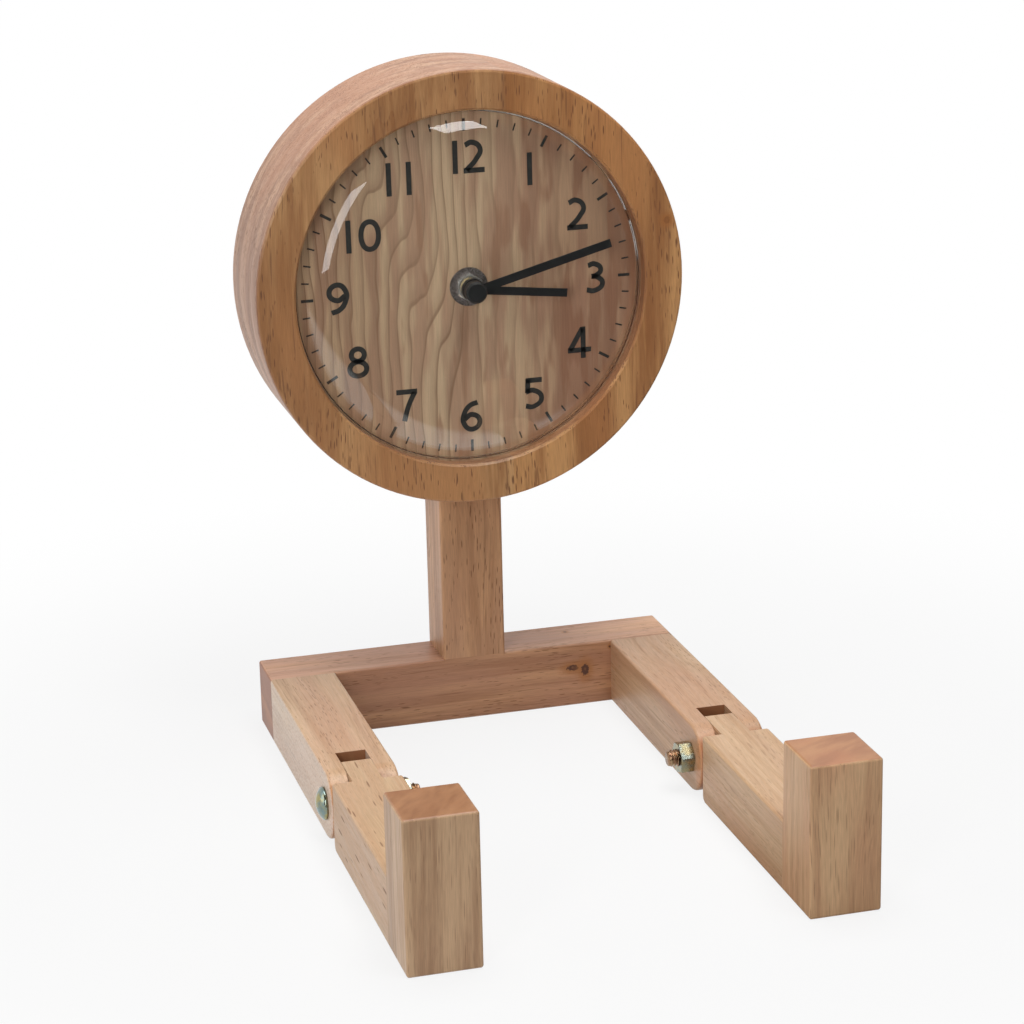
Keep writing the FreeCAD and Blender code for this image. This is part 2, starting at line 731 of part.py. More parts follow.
def battery_contacts():
    """Sprung strips at the two ends of the bay."""
    inner = movement_half - movement_wall
    low = battery_z - contact_width / 2
    high = battery_z + contact_width / 2
    front = movement_front + movement_wall
    back = front + battery_radius * 2
    tip_end = battery_length / 2 + battery_tip_length
    strips = [block(-tip_end - contact_thickness, -tip_end, front, back, low, high),
              block(battery_length / 2, battery_length / 2 + contact_thickness, front, back, low, high),
              block(-inner, -tip_end, front, front + contact_thickness, low, high),
              block(battery_length / 2, inner, front, front + contact_thickness, low, high)]
    left = strips[0].fuse(strips[2]).removeSplitter()
    right = strips[1].fuse(strips[3]).removeSplitter()
    return in_head(Part.makeCompound([left, right]))


pieces = {
    "hip_beam": hip_beam,
    "hip_dowels": hip_dowels,
    "post": post,
    "post_screws": post_screws,
    "thigh_left": lambda: thigh(-leg_x),
    "thigh_right": lambda: thigh(leg_x),
    "shin_left": lambda: shin(-leg_x),
    "shin_right": lambda: shin(leg_x),
    "foot_left": lambda: foot(-leg_x),
    "foot_right": lambda: foot(leg_x),
    "foot_dowels_left": lambda: foot_dowels(-leg_x),
    "foot_dowels_right": lambda: foot_dowels(leg_x),
    "knee_bolts": knee_bolts,
    "knee_nuts": knee_nuts,
    "case": case,
    "case_screws": case_screws,
    "glass": glass,
    "dial_face": dial_face,
    "dial_board": dial_board,
    "retaining_hoop": retaining_hoop,
    "threaded_bush": threaded_bush,
    "rubber_washer": rubber_washer,
    "dial_washer": dial_washer,
    "dial_nut": dial_nut,
    "hour_hand": hour_hand,
    "minute_hand": minute_hand,
    "minute_cap": minute_cap,
    "movement_shell": movement_shell,
    "movement_cover": movement_cover,
    "minute_arbor": minute_arbor,
    "centre_wheel": centre_wheel,
    "motion_wheel": motion_wheel,
    "hour_wheel": hour_wheel,
    "setting_knob": setting_knob,
    "battery": battery,
    "battery_contacts": battery_contacts,
}

os.makedirs("parts", exist_ok=True)
for name, make in pieces.items():
    shape = make()
    shape.exportStep("parts/" + name + ".step")
    print(name, len(shape.Solids), "solids, volume", round(shape.Volume, 1), "valid", shape.isValid())
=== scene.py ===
import bmesh
import bpy
import math
from mathutils import Matrix, Vector


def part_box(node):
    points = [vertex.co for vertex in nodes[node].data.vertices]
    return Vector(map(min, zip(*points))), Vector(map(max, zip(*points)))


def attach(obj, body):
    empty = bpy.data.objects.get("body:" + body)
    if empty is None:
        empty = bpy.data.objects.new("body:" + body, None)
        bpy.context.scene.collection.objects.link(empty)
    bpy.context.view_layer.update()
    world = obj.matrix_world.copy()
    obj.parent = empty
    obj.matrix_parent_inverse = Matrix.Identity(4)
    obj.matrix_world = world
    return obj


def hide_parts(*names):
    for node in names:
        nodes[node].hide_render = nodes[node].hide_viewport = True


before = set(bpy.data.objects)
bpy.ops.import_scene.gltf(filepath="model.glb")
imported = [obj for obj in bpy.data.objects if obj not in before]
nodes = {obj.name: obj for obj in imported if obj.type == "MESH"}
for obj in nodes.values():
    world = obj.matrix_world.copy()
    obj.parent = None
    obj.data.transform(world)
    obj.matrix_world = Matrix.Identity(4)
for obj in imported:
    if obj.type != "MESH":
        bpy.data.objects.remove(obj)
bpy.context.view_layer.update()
scene = bpy.context.scene
scene.view_settings.view_transform = "Standard"

# Room: pale floor and four soft boxes
# Two boxes hang above, one over the clock and a smaller one in front of it. One stands at the left
# of the camera, a weak one farther left. Floor and walls show white, the floor keeps the clock's
# faint shadow, and glass and metal mirror a dark studio on the camera's side.

camera_place = (-0.31704, -1.11377, 0.48777)
camera_heading_deg = 15.406
camera_tilt_deg = -17.136
camera_roll_deg = -1.360
camera_lens_mm = 102.46
camera_near = 0.05
camera_data = bpy.data.cameras.new("camera")
camera_data.lens = camera_lens_mm
camera_data.clip_start = camera_near
camera = bpy.data.objects.new("camera", camera_data)
scene.collection.objects.link(camera)
camera.matrix_world = (Matrix.Translation(camera_place)
                       @ Matrix.Rotation(-math.radians(camera_heading_deg), 4, "Z")
                       @ Matrix.Rotation(math.pi / 2 + math.radians(camera_tilt_deg), 4, "X")
                       @ Matrix.Rotation(math.radians(camera_roll_deg), 4, "Z"))
scene.camera = camera


def soft_box(name, place, aim, size, power):
    """A soft box. The glass's outer skin mirrors it, but it doesn't show through the glass."""
    lamp = bpy.data.lights.new(name, "AREA")
    lamp.shape = "RECTANGLE"
    lamp.size, lamp.size_y = size
    lamp.energy = power
    holder = bpy.data.objects.new(name, lamp)
    holder.visible_transmission = False
    holder.location = place
    holder.rotation_euler = (Vector(aim) - Vector(place)).to_track_quat("-Z", "Y").to_euler()
    scene.collection.objects.link(holder)


soft_box("overhead_soft_box", place=(0.05, 0.16, 1.55), aim=(0, 0, 0.12), size=(1.0, 0.8),
         power=14.5)
soft_box("front_soft_box", place=(0.22, -0.46, 1.48), aim=(0, 0, 0.15), size=(0.42, 0.55),
         power=7.0)
soft_box("left_soft_box", place=(-0.90, -1.12, 0.60), aim=(0, 0, 0.15), size=(0.36, 0.95),
         power=6.8)
soft_box("left_fill", place=(-1.7, 0.25, 0.6), aim=(0, 0, 0.1), size=(1.2, 1.2), power=6.0)


def put(tree, kind, values=None, **settings):
    """Adds a shader node, sets its options, and sets or links its inputs."""
    node = tree.nodes.new("ShaderNode" + kind)
    for key, value in settings.items():
        setattr(node, key, value)
    for key, value in (values or {}).items():
        if isinstance(value, bpy.types.NodeSocket):
            tree.links.new(value, node.inputs[key])
        else:
            node.inputs[key].default_value = value
    return node


def calc(tree, operation, a, b=0.0, c=0.0, clamp=False):
    return put(tree, "Math", {0: a, 1: b, 2: c}, operation=operation, use_clamp=clamp).outputs[0]


def between(tree, value, low, high, to_low=0.0, to_high=1.0):
    """Maps a value from one range smoothly to another."""
    return put(tree, "MapRange", {"Value": value, "From Min": low, "From Max": high,
                                  "To Min": to_low, "To Max": to_high},
               interpolation_type="SMOOTHSTEP").outputs[0]


def blend(tree, share, first, second, kind="MIX"):
    """Goes from the first colour to the second, or with MULTIPLY to the first tinted by it."""
    return put(tree, "Mix", {0: share, 6: first, 7: second}, data_type="RGBA",
               blend_type=kind).outputs[2]


def blend_number(tree, share, first, second):
    return put(tree, "Mix", {0: share, 2: first, 3: second}).outputs[0]


def distance(tree, point):
    """How far a point lies from zero."""
    return put(tree, "VectorMath", {0: point}, operation="LENGTH").outputs["Value"]


def new_material(name):
    material = bpy.data.materials.new(name)
    material.use_nodes = True
    material.node_tree.nodes.clear()
    return material, material.node_tree


def ways_seen(tree):
    """Whether the camera sees this, and whether a shiny surface mirrors it or a glass shows it."""
    path = put(tree, "LightPath").outputs
    mirrored = calc(tree, "MAXIMUM", path["Is Glossy Ray"], path["Is Transmission Ray"])
    return path["Is Camera Ray"], mirrored


white = (1, 1, 1, 1)
room_light = 0.12
dark_side = 0.05
world = bpy.data.worlds.new("room")
scene.world = world
world.use_nodes = True
room = world.node_tree
room.nodes.clear()
way = put(room, "SeparateXYZ", {0: put(room, "TexCoord").outputs["Generated"]}).outputs["Y"]
wall = between(room, way, -0.25, 0.15, dark_side, 1.0)
in_camera, mirrored = ways_seen(room)
strength = calc(room, "MAXIMUM", blend_number(room, mirrored, room_light, wall), in_camera)
sky = put(room, "Background", {"Color": white, "Strength": strength}).outputs[0]
put(room, "OutputWorld", {"Surface": sky})

floor_grey = (0.66, 0.66, 0.66, 1)
floor_half = 6
glow_by_clock = 0.83
material, tree = new_material("floor")
spot = put(tree, "TexCoord").outputs["Object"]
axes = put(tree, "SeparateXYZ", {0: spot}).outputs
far = between(tree, distance(tree, spot), 0.20, 0.50)
in_camera, mirrored = ways_seen(tree)
aslant = calc(tree, "MULTIPLY_ADD", axes["X"], -1.2, axes["Y"])
wall = calc(tree, "MINIMUM", between(tree, aslant, -0.17, -0.05, dark_side, 1.0),
            between(tree, axes["Y"], -0.24, -0.15, dark_side, 1.0))
strength = blend_number(tree, mirrored, 1.0, wall)
bare = put(tree, "BsdfDiffuse", {"Color": floor_grey}).outputs[0]
glow = put(tree, "Emission", {"Color": white, "Strength": strength}).outputs[0]
share = calc(tree, "MULTIPLY_ADD", far, 1.0 - glow_by_clock, glow_by_clock)
share = calc(tree, "MAXIMUM", calc(tree, "MULTIPLY", in_camera, share), mirrored)
surface = put(tree, "MixShader", {0: share, 1: bare, 2: glow}).outputs[0]
put(tree, "OutputMaterial", {"Surface": surface})
shape = bmesh.new()
bmesh.ops.create_grid(shape, x_segments=1, y_segments=1, size=floor_half)
mesh = bpy.data.meshes.new("floor")
shape.to_mesh(mesh)
shape.free()
floor = bpy.data.objects.new("floor", mesh)
scene.collection.objects.link(floor)
mesh.materials.append(material)

# Hip beam and post
# Square bars of plantation hardwood, planed, sanded and oiled, with fine dark pores along the
# grain. The beam has two small knots and a pilot hole in front, the hole painted as a dark spot
# of shade, and a pin knot on top. The post stands on the beam, glued and screwed from below.


def vector_calc(tree, operation, a, b):
    return put(tree, "VectorMath", {0: a, 1: b}, operation=operation).outputs[0]


def in_millimetres(tree, place):
    return vector_calc(tree, "MULTIPLY", place, (1000, 1000, 1000))


def shaded(tree, colour, shade):
    """The colour made darker or lighter by a number near 1."""
    grey = put(tree, "CombineXYZ", {0: shade, 1: shade, 2: shade}).outputs[0]
    return blend(tree, 1.0, colour, grey, "MULTIPLY")


def new_group(name, takes, gives):
    """A shader node group. takes and gives list the names of its sockets by their kind."""
    group = bpy.data.node_groups.new(name, "ShaderNodeTree")
    for way, sockets in (("INPUT", takes), ("OUTPUT", gives)):
        for kind, names in sockets.items():
            for socket in names:
                group.interface.new_socket(socket, in_out=way, socket_type="NodeSocket" + kind)
    given = group.nodes.new("NodeGroupInput").outputs
    result = group.nodes.new("NodeGroupOutput").inputs
    return group, given, result


def hardwood_group():
    """The hardwood. Its point is in millimetres: X across the growth rings, Y along them, and Z
    along the grain. The size of a noise or a pore is given in the same three directions."""
    group, given, result = new_group(
        "hardwood",
        {"Vector": ["Point"], "Color": ["Light", "Dark", "Blush", "Pore"],
         "Float": ["Ring Width", "Pore Length", "Pore Amount", "Fleck Amount", "End Grain"]},
        {"Color": ["Color"], "Float": ["Roughness", "Height"]})

    def sized(vector, size):
        size = put(group, "CombineXYZ", dict(enumerate(size))).outputs[0]
        return vector_calc(group, "DIVIDE", vector, size)

    def noise(vector, size, detail=2.0):
        return put(group, "TexNoise", {"Vector": sized(vector, size), "Scale": 1.0,
                                       "Detail": detail, "Roughness": 0.55}).outputs

    sway = noise(given["Point"], (26, 60, 150), 1.5)["Color"]
    sway = vector_calc(group, "SUBTRACT", sway, (0.5, 0.5, 0.5))
    sway = vector_calc(group, "MULTIPLY", sway, (11, 11, 0))
    point = vector_calc(group, "ADD", given["Point"], sway)
    ring_width = given["Ring Width"]
    figure = noise(point, (ring_width, calc(group, "MULTIPLY", ring_width, 3.5), 170))["Fac"]
    across = put(group, "SeparateXYZ", {0: point}).outputs["X"]
    ring = calc(group, "MULTIPLY_ADD", figure, 2.2, calc(group, "DIVIDE", across, ring_width))
    ring = calc(group, "POWER", calc(group, "FRACT", ring), 4.0)
    calm = calc(group, "MULTIPLY_ADD", given["End Grain"], -0.85, 1.0)

    def calmed(value, middle):
        """Draws a value back to its middle on the end grain, which has less of it."""
        return calc(group, "MULTIPLY_ADD", calc(group, "SUBTRACT", value, middle), calm, middle)

    streak = calmed(noise(point, (1.1, 2.6, 55), 2.5)["Fac"], 0.5)
    line = calmed(between(group, noise(point, (0.55, 1.1, 34), 1.0)["Fac"], 0.60, 0.74), 0.0)
    fibre = calmed(noise(point, (0.30, 0.42, 7), 1.0)["Fac"], 0.5)
    tone = calc(group, "MULTIPLY_ADD", figure, 1.7, calc(group, "MULTIPLY", streak, 0.75))
    tone = between(group, tone, 0.94, 1.52, 0, 0.84)
    tone = calc(group, "ADD", tone, calc(group, "MULTIPLY", ring, 0.16))
    wood = blend(group, tone, given["Light"], given["Dark"])
    flush = between(group, noise(point, (16, 34, 90), 1.0)["Fac"], 0.40, 0.68, 0, 0.75)
    wood = blend(group, flush, wood, given["Blush"])
    wood = shaded(group, wood, between(group, fibre, 0.22, 0.78, 0.90, 1.07))

    def pores(size, least, most, patch):
        """Short strokes along the grain, from the least to the most full where patch is high."""
        cell = put(group, "TexVoronoi", {"Vector": sized(point, size), "Scale": 1.0,
                                         "Randomness": 1.0})
        reach = between(group, patch, 0.37, 0.62, least, most)
        full = calc(group, "DIVIDE", cell.outputs["Distance"], reach)
        full = calc(group, "SUBTRACT", 1.0, full, clamp=True)
        return calmed(calc(group, "MULTIPLY", full, 2.4, clamp=True), 0.0)

    patch = noise(point, (8, 14, 48), 1.5)["Fac"]
    pore_length = calc(group, "MULTIPLY", given["Pore Length"], 2.1)
    fine = pores((0.85, 1.0, pore_length), 0.10, 0.30, patch)
    fine = calc(group, "MAXIMUM", fine, calc(group, "MULTIPLY", line, 0.55))
    fine = calc(group, "MULTIPLY", fine, given["Pore Amount"])
    fleck = pores((1.9, 3.0, 20), 0.16, 0.25, noise(point, (14, 20, 60), 1.0)["Fac"])
    fleck = calc(group, "MULTIPLY", fleck, given["Fleck Amount"])
    marks = calc(group, "MAXIMUM", fine, fleck, clamp=True)
    wood = blend(group, marks, wood, given["Pore"])
    wood = blend(group, given["End Grain"], wood, (0.71, 0.53, 0.43, 1), "MULTIPLY")
    group.links.new(wood, result["Color"])
    rough = calc(group, "MULTIPLY_ADD", marks, 0.25, between(group, streak, 0.2, 0.8, 0.34, 0.50))
    group.links.new(rough, result["Roughness"])
    dents = calc(group, "MULTIPLY", fine, 0.8)
    height = calc(group, "SUBTRACT", calc(group, "MULTIPLY", fibre, 0.4), dents)
    group.links.new(height, result["Height"])
    return group


def knot_group():
    """A knot, or a small dark mark, round a centre in millimetres: a dark heart in a stain."""
    group, given, result = new_group(
        "knot", {"Vector": ["Point", "Centre", "Size"], "Color": ["Wood"], "Float": ["Depth"]},
        {"Color": ["Color"]})
    offset = vector_calc(group, "SUBTRACT", given["Point"], given["Centre"])
    offset = vector_calc(group, "DIVIDE", offset, given["Size"])
    ragged = put(group, "TexNoise", {"Vector": given["Point"], "Scale": 0.9, "Detail": 2.0})
    ragged = vector_calc(group, "SUBTRACT", ragged.outputs["Color"], (0.5, 0.5, 0.5))
    ragged = vector_calc(group, "MULTIPLY", ragged, (1.1, 1.1, 1.1))
    away = distance(group, vector_calc(group, "ADD", offset, ragged))
    stain = between(group, away, 0.9, 3.4, 0.8, 0)
    heart = between(group, away, 0.85, 1.15, 1, 0)
    heart = calc(group, "MULTIPLY", heart, between(group, away, 0.0, 0.45, 0.6))
    heart = calc(group, "MULTIPLY", heart, given["Depth"])
    colour = blend(group, stain, given["Wood"], (0.38, 0.15, 0.045, 1))
    colour = blend(group, heart, colour, (0.085, 0.028, 0.012, 1))
    group.links.new(colour, result["Color"])
    return group


hardwood = hardwood_group()
knot = knot_group()
pore_brown = (0.185, 0.078, 0.033, 1)
wood_relief = 0.0002
grain_turn = {"x": (0, math.pi / 2), "y": (math.pi / 2, 0), "z": (0, 0)}


def hardwood_finish(name, light, dark, blush, grain, ring_turn, shift, ring=7.0, length=3.0,
                    pores=0.8, flecks=0.0, ends=1.0, knots=(), tint=None):
    """Oiled hardwood with its grain along x, y or z. ring_turn turns the rings about the grain in
    degrees, and shift moves the piece in the log. ring is the width of the rings and length that
    of the pores in millimetres, ends is how much darker the end grain is, knots are
    (centre, size, depth), and tint may change the colour."""
    material, tree = new_material(name)
    place = put(tree, "TexCoord").outputs
    turn = (*grain_turn[grain], math.radians(ring_turn))
    point = put(tree, "Mapping", {"Vector": place["Object"], "Location": shift, "Rotation": turn,
                                  "Scale": (1000, 1000, 1000)}).outputs[0]
    facing = put(tree, "SeparateXYZ", {0: place["Normal"]}).outputs[grain.upper()]
    end = between(tree, calc(tree, "ABSOLUTE", facing), 0.55, 0.92, 0, ends)
    wood = put(tree, "Group", {"Point": point, "Light": light, "Dark": dark, "Blush": blush,
                               "Pore": pore_brown, "Ring Width": ring, "Pore Length": length,
                               "Pore Amount": pores, "Fleck Amount": flecks, "End Grain": end},
               node_tree=hardwood).outputs
    colour = wood["Color"]
    for centre, size, depth in knots:
        colour = put(tree, "Group", {"Point": in_millimetres(tree, place["Object"]),
                                     "Centre": centre, "Size": size, "Wood": colour,
                                     "Depth": depth}, node_tree=knot).outputs["Color"]
    if tint:
        colour = tint(tree, place, colour)
    bump = put(tree, "Bump", {"Height": wood["Height"], "Strength": 0.35,
                              "Distance": wood_relief}).outputs[0]
    skin = put(tree, "BsdfPrincipled", {"Base Color": colour, "Roughness": wood["Roughness"],
                                        "Normal": bump}).outputs[0]
    put(tree, "OutputMaterial", {"Surface": skin})
    return material


def finish_node(name, material):
    nodes[name].material_slots[0].material = material


def painted_top_sheen(tree, place, colour):
    """The top of the beam is painted paler than its front: a painted sheen."""
    up = put(tree, "SeparateXYZ", {0: place["Normal"]}).outputs["Z"]
    return blend(tree, between(tree, up, 0.6, 0.9), colour, (1.33, 1.44, 1.62, 1), "MULTIPLY")


beam_knots = (((46.9, 107, 18.6), (2.7, 1.5, 1.4), 1.0), ((52.8, 107, 17.0), (1.8, 1.5, 2.7), 1.0))
pin_knot = ((48.7, 125, 30), (0.8, 0.8, 0.8), 0.8)
# The pilot hole is only painted: its dark heart is painted shade, with a brown ring round it.
pilot_hole_shade = ((65.0, 107, 27.0), (0.5, 0.6, 0.6), 1.0)
# The beam's tint paints a sheen on its upward faces.
finish_node("hip_beam", hardwood_finish(
    "beam_wood", (0.58, 0.31, 0.16, 1), (0.34, 0.15, 0.07, 1), (0.44, 0.215, 0.125, 1), "x", 20,
    (40, 10, 0), ring=6.0, length=4.0, knots=(*beam_knots, pin_knot, pilot_hole_shade), tint=painted_top_sheen))
finish_node("post", hardwood_finish(
    "post_wood", (0.66, 0.37, 0.19, 1), (0.40, 0.195, 0.09, 1), (0.46, 0.24, 0.135, 1), "z", 65,
    (7, 3, 60), length=4.0))

# Thighs, shins and feet
# Each thigh ends in a fork with round cheeks, each shin in a tongue. The foot is glued upright to
# the shin. The shins are a paler board with brown flecks, and the oil has gone amber on the end
# grain of the cheeks.


def amber_cheeks(tree, place, colour):
    """Tints the round ends of the fork, where the end grain drank more oil."""
    y = put(tree, "SeparateXYZ", {0: place["Object"]}).outputs["Y"]
    wave = put(tree, "TexNoise", {"Vector": place["Object"], "Scale": 160.0, "Detail": 2.0})
    edge = calc(tree, "MULTIPLY_ADD", wave.outputs["Fac"], 0.008, y)
    cheek = between(tree, edge, -0.0145, -0.0075, 0.8, 0)
    return blend(tree, cheek, colour, (1.0, 0.74, 0.50, 1), "MULTIPLY")


def amber_cheeks_and_side_sheen(tree, place, colour):
    """Amber cheeks, and a painted sheen in specks on the left thigh's outer side."""
    side = put(tree, "SeparateXYZ", {0: place["Normal"]}).outputs["X"]
    # Painted reflection of the floor: the outer side is whitened in specks.
    painted_sheen = put(tree, "TexNoise", {"Vector": place["Object"], "Scale": 900.0, "Detail": 2.0})
    painted_sheen = between(tree, painted_sheen.outputs["Fac"], 0.30, 0.62, 0.15, 0.48)
    painted_sheen = calc(tree, "MULTIPLY", painted_sheen, between(tree, side, -0.9, -0.6, 1, 0))
    return blend(tree, painted_sheen, amber_cheeks(tree, place, colour), (0.90, 0.80, 0.70, 1))


cream = (0.62, 0.405, 0.24, 1)
tan = (0.46, 0.26, 0.135, 1)
rose = (0.55, 0.305, 0.175, 1)
finish_node("thigh_left", hardwood_finish(
    "thigh_left_wood", (0.66, 0.445, 0.27, 1), tan, rose, "y", 30, (13, 60, 0), length=4.0,
    pores=0.5, tint=amber_cheeks_and_side_sheen))
finish_node("thigh_right", hardwood_finish(
    "thigh_right_wood", cream, tan, rose, "y", 75, (63, 20, 40), length=4.0, pores=0.5,
    tint=amber_cheeks))
finish_node("shin_left", hardwood_finish(
    "shin_left_wood", (0.63, 0.44, 0.255, 1), (0.51, 0.31, 0.17, 1), (0.56, 0.34, 0.195, 1), "y",
    10, (83, 40, 10), pores=0.2, flecks=0.75))
finish_node("shin_right", hardwood_finish(
    "shin_right_wood", (0.62, 0.41, 0.24, 1), (0.49, 0.285, 0.15, 1), (0.55, 0.315, 0.18, 1), "y",
    50, (23, 80, 25), pores=0.3, flecks=0.3))
finish_node("foot_left", hardwood_finish(
    "foot_left_wood", (0.59, 0.385, 0.225, 1), (0.38, 0.215, 0.115, 1), (0.47, 0.27, 0.15, 1), "z",
    35, (31, 12, 18), length=9.0, pores=0.45))
finish_node("foot_right", hardwood_finish(
    "foot_right_wood", (0.68, 0.435, 0.24, 1), (0.48, 0.26, 0.135, 1), (0.62, 0.33, 0.18, 1), "z",
    60, (3, 42, 80), length=9.0, pores=0.45))
dowel_wood = hardwood_finish("dowel_wood", cream, tan, rose, "y", 0, (0, 0, 0), pores=0.3)
for name in ("hip_dowels", "foot_dowels_left", "foot_dowels_right"):
    finish_node(name, dowel_wood)

# Knee bolts and nuts
# Steel bolts with a mushroom head outside and a hexagon nut inside, zinc plated and passivated
# to a greenish grey with olive and pink tints. The bolt's threaded end stands out of the nut.


def skin_group():
    """A clouded, finely uneven skin for metal, paint, plastic and board, in millimetres."""
    group, given, result = new_group(
        "uneven_skin",
        {"Vector": ["Point"], "Color": ["Colour", "Cloud Colour"],
         "Float": ["Grain", "Cloud", "Smoothest", "Roughest"]},
        {"Color": ["Color"], "Float": ["Roughness", "Height"]})

    def noise(size, detail):
        return put(group, "TexNoise", {"Vector": given["Point"], "Detail": detail,
                                       "Scale": calc(group, "DIVIDE", 1.0, size)}).outputs["Fac"]

    speck = noise(given["Grain"], 3.0)
    cloud = between(group, noise(given["Cloud"], 2.0), 0.38, 0.64)
    colour = blend(group, cloud, given["Colour"], given["Cloud Colour"])
    colour = shaded(group, colour, between(group, speck, 0.2, 0.8, 0.88, 1.08))
    group.links.new(colour, result["Color"])
    rough = put(group, "MapRange", {"Value": speck, "From Min": 0.25, "From Max": 0.75,
                                    "To Min": given["Smoothest"], "To Max": given["Roughest"]})
    group.links.new(rough.outputs[0], result["Roughness"])
    group.links.new(speck, result["Height"])
    return group


uneven_skin = skin_group()
relief_per_grain = 0.0002
weld_distance = 0.000002


def skin_finish(name, colour, cloud_colour, rough, metallic=0.0, grain=0.5, cloud=6.0, relief=0.2):
    """A material on the uneven skin. rough is its smoothest and roughest, grain and cloud are the
    sizes of its specks and clouds in millimetres, and relief is how much the specks stand out."""
    material, tree = new_material(name)
    point = in_millimetres(tree, put(tree, "TexCoord").outputs["Object"])
    skin = put(tree, "Group", {"Point": point, "Colour": colour, "Cloud Colour": cloud_colour,
                               "Grain": grain, "Cloud": cloud, "Smoothest": rough[0],
                               "Roughest": rough[1]}, node_tree=uneven_skin).outputs
    bump = put(tree, "Bump", {"Height": skin["Height"], "Strength": relief,
                              "Distance": grain * relief_per_grain}).outputs[0]
    body = put(tree, "BsdfPrincipled", {"Base Color": skin["Color"],
                                        "Roughness": skin["Roughness"], "Metallic": metallic,
                                        "Normal": bump}).outputs[0]
    put(tree, "OutputMaterial", {"Surface": body})
    return material


def make_piece(name, shape, material, smooth=True):
    """Turns a finished bmesh into a piece with one material."""
    bmesh.ops.remove_doubles(shape, verts=shape.verts[:], dist=weld_distance)
    bmesh.ops.recalc_face_normals(shape, faces=shape.faces[:])
    for face in shape.faces:
        face.smooth = smooth
    mesh = bpy.data.meshes.new(name)
    shape.to_mesh(mesh)
    shape.free()
    piece = bpy.data.objects.new(name, mesh)
    scene.collection.objects.link(piece)
    mesh.materials.append(material)
    return piece


head_steel = skin_finish("bolt_head_steel", (0.20, 0.27, 0.26, 1), (0.36, 0.31, 0.13, 1),
                         (0.14, 0.26), metallic=1.0, grain=1.2, cloud=5.0)
thread_steel = skin_finish("bolt_thread_steel", (0.30, 0.165, 0.10, 1), (0.38, 0.26, 0.15, 1),
                           (0.18, 0.36), metallic=1.0, cloud=1.5, relief=0.3)
nut_steel = skin_finish("nut_steel", (0.26, 0.30, 0.26, 1), (0.38, 0.33, 0.19, 1), (0.18, 0.34),
                        metallic=1.0, grain=0.45, cloud=4.0, relief=0.25)
bolts_low, bolts_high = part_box("knee_bolts")
bolt_y = (bolts_low.y + bolts_high.y) / 2
bolt_z = (bolts_low.z + bolts_high.z) / 2
head_radius = (bolts_high.z - bolts_low.z) / 2
head_height = 0.0040
head_dome = 0.01015
head_edge = 0.0002
head_rows = 12
shank_radius = 0.0038
shank_tolerance = 0.0001
shank_rows = 4
bolt_length = 0.0445
bolt_steps = 56
thread_start = 0.0330
thread_end_gap = 0.0009
thread_root = 0.0030
thread_pitch = 0.0015
thread_rows = 12
thread_flank = 1.35
thread_crest = 0.15
run_out = 0.0017
run_out_slope = 0.8
tip_radius = 0.0029
tip_edge = 0.0003


def knee_bolt(shape, half_turns):
    """One bolt, its head towards +X, or towards -X after a half turn. It is turned from an outline
    of (radius, distance from the top of the head), then the thread is cut into the shank."""
    head_angle = math.asin(head_radius / head_dome)
    angles = [head_angle * i / head_rows for i in range(head_rows + 1)]
    outline = [(head_dome * math.sin(a), head_dome * (1 - math.cos(a))) for a in angles]
    outline += [(head_radius, head_height - head_edge), (head_radius - head_edge, head_height),
                (shank_radius, head_height)]
    plain = thread_start - head_height
    outline += [(shank_radius, head_height + plain * i / shank_rows)
                for i in range(shank_rows + 1)]
    rows = int((bolt_length - thread_end_gap - thread_start) / thread_pitch * thread_rows)
    outline += [(shank_radius, thread_start + thread_pitch * i / thread_rows)
                for i in range(1, rows + 1)]
    outline += [(tip_radius + tip_edge, bolt_length - tip_edge), (tip_radius, bolt_length),
                (0, bolt_length)]
    old = set(shape.verts)
    points = [shape.verts.new((-along, 0, radius)) for radius, along in outline]
    lines = [shape.edges.new(pair) for pair in zip(points, points[1:])]
    bmesh.ops.spin(shape, geom=points + lines, cent=(0, 0, 0), axis=(1, 0, 0), dvec=(0, 0, 0),
                   angle=2 * math.pi, steps=bolt_steps, use_merge=True, use_duplicate=False)
    points = [point for point in shape.verts if point not in old]
    for point in points:
        along = -point.co.x
        radius = math.hypot(point.co.y, point.co.z)
        if along > thread_start and abs(radius - shank_radius) < shank_tolerance:
            turn = math.atan2(point.co.z, point.co.y) / (2 * math.pi)
            valley = abs(2 * ((along / thread_pitch + turn) % 1) - 1)
            cut = min(1.0, max(0.0, valley * thread_flank - thread_crest))
            cut *= shank_radius - thread_root
            cut = max(cut, (along - (bolt_length - run_out)) * run_out_slope)
            point.co.y *= (shank_radius - cut) / radius
            point.co.z *= (shank_radius - cut) / radius
    bmesh.ops.translate(shape, verts=points, vec=(bolts_high.x, 0, 0))
    bmesh.ops.rotate(shape, verts=points, cent=(0, 0, 0),
                     matrix=Matrix.Rotation(math.pi * half_turns, 3, "Z"))
    bmesh.ops.translate(shape, verts=points, vec=(0, bolt_y, bolt_z))


shape = bmesh.new()
knee_bolt(shape, 0)
knee_bolt(shape, 1)
bolts = make_piece("knee_bolt_pair", shape, head_steel)
bolts.data.materials.append(thread_steel)
for face in bolts.data.polygons:
    if abs(face.center.x) < bolts_high.x - head_height:
        face.material_index = 1
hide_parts("knee_bolts")
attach(bolts, "clock")
finish_node("knee_nuts", nut_steel)

# Clock case
# A ring turned from a glued board, oiled a little darker, open at the back, with a lip in front of
# the glass. The post is screwed to it from inside.

glue_line = 0.0160
glue_width = 0.0005


